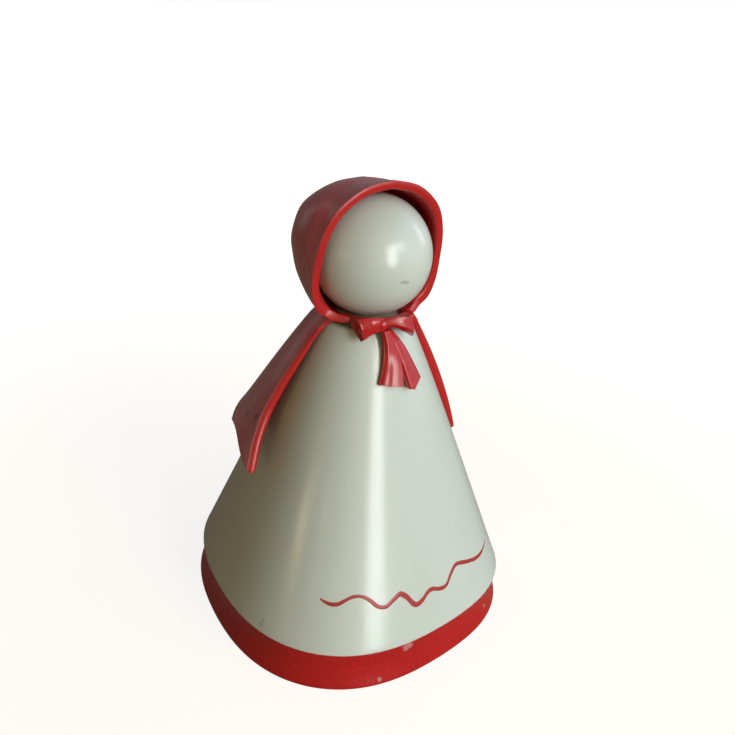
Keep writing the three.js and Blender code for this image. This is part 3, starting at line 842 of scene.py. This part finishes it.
# each ribbon has rows from its upper or left edge to its lower or right edge; a row runs from the
# knot outwards: degrees round the neck, height above the tie's foot, distance from the neck axis
bow = {
    "knot": {"angle": -18.8, "height": 2.2, "radius": 20.6, "size": (2.0, 1.2, 1.8), "pleats": 7,
             "pleatDepth": 0.12, "steps": (36, 24)},
    "loopLeft": {
        "front": [
            [(-15.5, 4.2, 19.6), (-27.7, 4.8, 21.0), (-34.8, 4.6, 21.5), (-42.3, 3.8, 22.0)],
            [(-15.5, 3.4, 20.6), (-26.7, 3.7, 21.8), (-32.7, 3.2, 22.2), (-39.6, 2.2, 22.7)],
            [(-15.5, 1.7, 20.8), (-25.8, 1.7, 21.9), (-31.3, 0.9, 22.4), (-36.9, -0.2, 23.0)],
            [(-15.5, 0.2, 20.4), (-25.1, -0.4, 21.4), (-30.7, -1.6, 21.8), (-35.2, -3.0, 22.4)],
        ],
        "back": [
            [(-15.5, 3.9, 18.7), (-27.5, 3.9, 18.6), (-38.6, 3.2, 18.8), (-50.0, 2.4, 19.2)],
            [(-15.5, 2.7, 18.8), (-27.1, 2.3, 18.9), (-36.9, 1.3, 19.1), (-48.0, 0.4, 19.6)],
            [(-15.5, 1.1, 19.0), (-25.7, 0.3, 19.2), (-33.3, -1.0, 19.4), (-42.5, -2.5, 19.6)],
            [(-15.5, -0.2, 19.0), (-24.3, -1.5, 19.5), (-30.9, -2.9, 20.0), (-37.6, -4.3, 20.4)],
        ],
        "hollow": 0.12, "edge": 0.2, "steps": (28, 20),
    },
    "loopRight": {
        "front": [
            [(-16, 4.2, 20.2), (-7.1, 4.9, 21.1), (0.3, 5.0, 21.8), (8.6, 4.6, 22.5)],
            [(-16, 3.8, 20.7), (-7.9, 4.3, 21.35), (-0.2, 4.1, 22.15), (9.6, 3.1, 22.95)],
            [(-16, 3.0, 21.0), (-7.6, 3.4, 21.65), (0.3, 2.8, 22.55), (10.9, 1.2, 23.45)],
            [(-16, 2.2, 21.2), (-7.7, 2.6, 22.0), (0.1, 1.7, 22.95), (9.6, -0.6, 24.0)],
            [(-15, 1.4, 20.6), (-5.7, 1.2, 21.2), (3.3, -0.4, 21.6), (15.4, -3.0, 21.6)],
        ],
        "back": [
            [(-16, 4.0, 18.9), (-5.7, 4.2, 18.8), (3.0, 4.2, 18.8), (13.0, 4.0, 18.6)],
            [(-16, 3.2, 18.9), (-4.7, 3.2, 18.8), (4.0, 3.0, 18.8), (15.0, 2.2, 18.6)],
            [(-16, 2.2, 18.9), (-4.0, 2.0, 18.9), (5.0, 1.4, 18.9), (16.5, 0.0, 18.8)],
            [(-16, 1.3, 18.9), (-3.6, 0.8, 19.0), (6.0, -0.4, 19.0), (18.0, -2.2, 19.0)],
            [(-15, 0.7, 19.0), (-3.2, 0.2, 19.4), (6.5, -1.4, 19.6), (18.5, -3.8, 20.0)],
        ],
        "hollow": 0.12, "edge": 0.2, "steps": (28, 20),
    },
    "tailLeft": {
        "front": [
            [(-17.9, -0.5, 19.6), (-14.9, -5.8, 21.2), (-16.4, -12.1, 23.2), (-20.2, -17.8, 25.6)],
            [(-15.9, -0.2, 20.3), (-12.5, -5.4, 21.9), (-13.7, -11.6, 23.6), (-17.0, -17.2, 26.05)],
            [(-13.6, -0.2, 20.2), (-10.0, -5.5, 21.8), (-10.8, -11.7, 23.9), (-13.4, -17.8, 26.5)],
            [(-11.5, -0.2, 20.0), (-7.5, -5.5, 21.65), (-7.9, -11.6, 24.15), (-10.1, -17.7, 26.8)],
            [(-8.7, -0.3, 19.7), (-4.4, -5.7, 21.45), (-4.3, -11.7, 24.4), (-5.6, -18.0, 27.15)],
            [(-4.5, -0.8, 19.2), (-0.1, -6.2, 21.0), (-0.2, -12.0, 24.5), (-1.8, -18.2, 27.4)],
        ],
        "thickness": 2.6, "edge": 0.15, "steps": (30, 40),
    },
    "tailRight": {
        "front": [
            [(-9.6, -0.9, 18.9), (-3.5, -6.2, 21.2), (0.0, -11.6, 23.2), (4.6, -19.8, 26.9)],
            [(-8.7, -0.7, 19.1), (-1.9, -5.9, 21.4), (2.3, -11.3, 23.9), (6.7, -19.8, 27.7)],
            [(-7.4, -0.7, 19.1), (0.6, -5.8, 21.2), (5.5, -11.3, 23.7), (9.4, -20.1, 27.5)],
            [(-5.4, -0.8, 18.9), (4.0, -5.7, 20.8), (9.6, -11.1, 23.1), (14.3, -18.8, 26.6)],
            [(-2.3, -1.2, 18.3), (9.1, -6.1, 20.0), (15.6, -11.2, 22.3), (21.5, -17.9, 25.4)],
        ],
        "thickness": 1.6, "edge": 0.12, "steps": (30, 24),
    },
}
# how the ribbons' rims are found and rounded, and how a loop's open end is found and inset
ribbonDetail = {"rimAngle": 55.0, "rimSteps": 3, "facing": 0.9, "wall": 0.1, "inside": 0.48}


def sheetPoint(rows, down, along):
    # the rows' own curves first, then a smooth curve across them
    across = [curveThrough(row, along) for row in rows]
    angle, height, radius = curveThrough(across, down)
    turn = math.radians(angle)
    return Vector((radius * math.sin(turn), -radius * math.cos(turn), collar["low"] + height))


def openEnd(bm, depth):
    end = [f for f in bm.faces if f.normal.x > ribbonDetail["facing"]]
    bmesh.ops.inset_region(bm, faces=end, thickness=ribbonDetail["wall"], depth=0,
                           use_even_offset=True)
    inset = [f for f in bm.faces if f.normal.x > ribbonDetail["facing"]
             and all(abs(v.co.y) < ribbonDetail["inside"] for v in f.verts)]
    bmesh.ops.translate(bm, verts=list({v for f in inset for v in f.verts}), vec=(-depth, 0, 0))


def makeRibbon(name, part, nodes=()):
    # a box between two sheets: the front one, and the back one or else the front one moved inwards
    bm = flatBox(*part["steps"])
    rimAngle = math.radians(ribbonDetail["rimAngle"])
    rims = [e for e in bm.edges if e.calc_face_angle(0) > rimAngle]
    if part.get("hollow"):
        openEnd(bm, part["hollow"])

    def place(x, y, z):
        face = sheetPoint(part["front"], y + 0.5, x + 0.5)
        if "back" in part:
            return face.lerp(sheetPoint(part["back"], y + 0.5, x + 0.5), -z)
        away = Vector((face.x, face.y, 0)).normalized()
        return face + away * part["thickness"] * z

    warp(bm, place)
    bmesh.ops.bevel(bm, geom=rims, offset=part["edge"], offset_type="OFFSET",
                    segments=ribbonDetail["rimSteps"], profile=0.5, affect="EDGES", material=-1,
                    clamp_overlap=True)
    finishPiece(name, bm, "shoulders", tieRed, nodes, bowTurn, sharp=50)


def makeKnot():
    knot = bow["knot"]
    bm = bmesh.new()
    around, down = knot["steps"]
    bmesh.ops.create_uvsphere(bm, u_segments=around, v_segments=down, radius=1.0)

    def place(x, y, z):
        pleat = math.cos(knot["pleats"] * math.atan2(x, z)) * (1 - abs(y)) ** 0.5
        pinch = 1 - knot["pleatDepth"] * pleat
        wide, deep, tall = knot["size"]
        turn = math.radians(knot["angle"]) + x * wide * pinch / knot["radius"]
        radius = knot["radius"] - y * deep
        height = collar["low"] + knot["height"] + z * tall * pinch
        return radius * math.sin(turn), -radius * math.cos(turn), height

    warp(bm, place)
    finishPiece("bow_knot", bm, "shoulders", tieRed, (), bowTurn, sharp=60)


makeRibbon("bow_loop_left", bow["loopLeft"], ["bow"])
makeRibbon("bow_loop_right", bow["loopRight"])
makeRibbon("bow_tail_left", bow["tailLeft"])
makeRibbon("bow_tail_right", bow["tailRight"])
makeKnot()
print("bow made")

# the CAD pieces of the neck are hidden but for a narrow ring, so they stay, in a darker, warmer
# cream that is painted shade and painted red bounce light under the head
for nodeName in ("neck_post", "neck_clip"):
    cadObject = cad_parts[nodeName]
    cadObject.data.materials.clear()
    cadObject.data.materials.append(neckShadedCream)

# studio

studio = {
    "floorSize": 6.0, "floorDrop": 0.0002, "floorColour": (0.3, 0.225, 0.14),
    # the floor's own white under the doll, and the distances from where it grows to full
    "lift": 0.86, "liftReach": (0.1, 0.45),
    # how much of the white background the gloss shows, as the photographed room is darker
    "glossShare": 0.06,
    "roomStrength": 1.5, "roomAxis": -75.0, "roomTop": (0.62, 0.92), "ceiling": 0.04,
    # the room's light round the doll: degrees from the axis above, and the colour there
    "room": [(-140, (0.02, 0.005, 0.0)), (-88, (0.12, 0.035, 0.0)), (-65, (0.26, 0.155, 0.03)),
             (-37, (0.92, 0.95, 0.7)), (-5, (1.1, 1.28, 1.36)), (45, (0.76, 0.86, 1.0)),
             (112, (0.3, 0.3, 0.32)), (165, (0.04, 0.015, 0.0))],
    "aim": (0, 0, 0.07),
    # azimuth and elevation in degrees, distance and size in metres, brightness, colour
    "lamps": {
        "window": (-94.0, 10.0, 1.6, (0.48, 1.3), 8.5, (0.98, 1.0, 1.0)),
        "windowPane": (-76.0, 27.0, 1.6, (0.48, 0.4), 5.0, (0.97, 1.0, 1.0)),
        "sideWindow": (-14.0, 22.0, 1.8, (0.3, 0.8), 3.0, (1.0, 1.0, 1.0)),
        "roomLampA": (176.0, 6.0, 1.6, (0.3, 0.07), 12.0, (1.0, 0.8, 0.45)),
        "roomLampB": (-177.0, 13.0, 1.6, (0.05, 0.05), 14.0, (1.0, 0.85, 0.55)),
        "roomLampC": (-158.0, 12.0, 1.6, (0.06, 0.06), 12.0, (1.0, 0.85, 0.55)),
    },
}


def backgroundSeen(tree):
    # 1 for the camera and through glass, and a share of it in gloss
    rays = put(tree, "ShaderNodeLightPath").outputs
    straight = mathNode(tree, "MAXIMUM", rays["Is Camera Ray"], rays["Is Transmission Ray"])
    gloss = times(tree, rays["Is Glossy Ray"], studio["glossShare"])
    return mathNode(tree, "MAXIMUM", straight, gloss)


def makeFloor():
    bm = bmesh.new()
    bmesh.ops.create_grid(bm, x_segments=1, y_segments=1, size=studio["floorSize"])
    bmesh.ops.translate(bm, verts=bm.verts, vec=(0, 0, -studio["floorDrop"]))
    mesh = bpy.data.meshes.new("floor")
    bm.to_mesh(mesh)
    bm.free()
    floor = bpy.data.objects.new("floor", mesh)
    bpy.context.scene.collection.objects.link(floor)
    material = bpy.data.materials.new("paleFloor")
    material.use_nodes = True
    tree = material.node_tree
    tree.nodes.clear()
    matt = put(tree, "ShaderNodeBsdfDiffuse", Color=(*studio["floorColour"], 1))
    place = put(tree, "ShaderNodeTexCoord").outputs["Object"]
    away = vectorNode(tree, "LENGTH", place)["Value"]
    far = rangeNode(tree, away, *studio["liftReach"], studio["lift"], 1.0)
    glow = put(tree, "ShaderNodeEmission", Color=(1, 1, 1, 1),
               Strength=times(tree, far, backgroundSeen(tree)))
    both = put(tree, "ShaderNodeAddShader", i0=matt.outputs[0], i1=glow.outputs[0])
    out = put(tree, "ShaderNodeOutputMaterial")
    tree.links.new(both.outputs[0], out.inputs["Surface"])
    mesh.materials.append(material)


def makeWorld():
    world = bpy.data.worlds.new("studio")
    bpy.context.scene.world = world
    world.use_nodes = True
    tree = world.node_tree
    tree.nodes.clear()
    direction = put(tree, "ShaderNodeTexCoord").outputs["Generated"]
    turned = put(tree, "ShaderNodeMapping", {"vector_type": "TEXTURE"}, Vector=direction,
                 Rotation=(0, 0, math.radians(studio["roomAxis"])))
    apart = put(tree, "ShaderNodeSeparateXYZ", Vector=turned.outputs[0]).outputs
    angle = mathNode(tree, "ARCTAN2", apart["Y"], apart["X"])
    share = mathNode(tree, "MULTIPLY_ADD", angle, 0.5 / math.pi, 0.5)
    ramp = put(tree, "ShaderNodeValToRGB", Fac=share)
    stops, strength = ramp.color_ramp.elements, studio["roomStrength"]
    added = [stops.new(0.5) for _ in studio["room"][2:]]
    for stop, (degrees, colour) in zip([*stops[:2], *added], studio["room"]):
        stop.position = 0.5 + degrees / 360
        stop.color = (*(c / strength for c in colour), 1)
    top = rangeNode(tree, apart["Z"], *studio["roomTop"], 1.0, studio["ceiling"])
    seen = backgroundSeen(tree)
    colour = blendColours(tree, top, (0.0, 0.0, 0.0), ramp.outputs[0])
    colour = blendColours(tree, seen, colour, (1.0, 1.0, 1.0))
    power = mathNode(tree, "SUBTRACT", strength, times(tree, seen, strength - 1))
    back = put(tree, "ShaderNodeBackground", Color=colour, Strength=power)
    out = put(tree, "ShaderNodeOutputWorld")
    tree.links.new(back.outputs[0], out.inputs["Surface"])


def softLamp(name, azimuth, elevation, distance, across, strength, colour):
    turn, rise = math.radians(azimuth), math.radians(elevation)
    lamp = bpy.data.lights.new(name, "AREA")
    lamp.shape = "RECTANGLE"
    lamp.size, lamp.size_y = across
    lamp.color = colour
    lamp.energy = strength * across[0] * across[1] * math.pi  # strength is its face's radiance
    aim = Vector(studio["aim"])
    level = distance * math.cos(rise)
    where = aim + Vector((level * math.cos(turn), level * math.sin(turn),
                          distance * math.sin(rise)))
    holder = bpy.data.objects.new(name, lamp)
    bpy.context.scene.collection.objects.link(holder)
    holder.visible_camera = False
    holder.matrix_world = (Matrix.Translation(where)
                           @ (aim - where).to_track_quat("-Z", "Y").to_matrix().to_4x4())


makeFloor()
makeWorld()
for lampName, values in studio["lamps"].items():
    softLamp(lampName, *values)
print("studio made")

# camera

camera = {
    "place": (-0.18957, -0.19678, 0.21671), "look": (0.63862, 0.64960, -0.41254),
    "up": (0.21523, 0.36393, 0.90622), "lens": 40.325, "sensor": 36.0, "clip": (0.01, 50.0),
}


def makeCamera():
    data = bpy.data.cameras.new("camera")
    data.lens = camera["lens"]
    data.sensor_width = camera["sensor"]
    data.clip_start, data.clip_end = camera["clip"]
    holder = bpy.data.objects.new("camera", data)
    bpy.context.scene.collection.objects.link(holder)
    look = Vector(camera["look"]).normalized()
    right = look.cross(Vector(camera["up"])).normalized()
    up = right.cross(look)
    turn = Matrix((right, up, -look)).transposed().to_4x4()
    holder.matrix_world = Matrix.Translation(camera["place"]) @ turn
    bpy.context.scene.camera = holder


makeCamera()
bpy.context.scene.view_settings.view_transform = "Standard"
print("camera set")
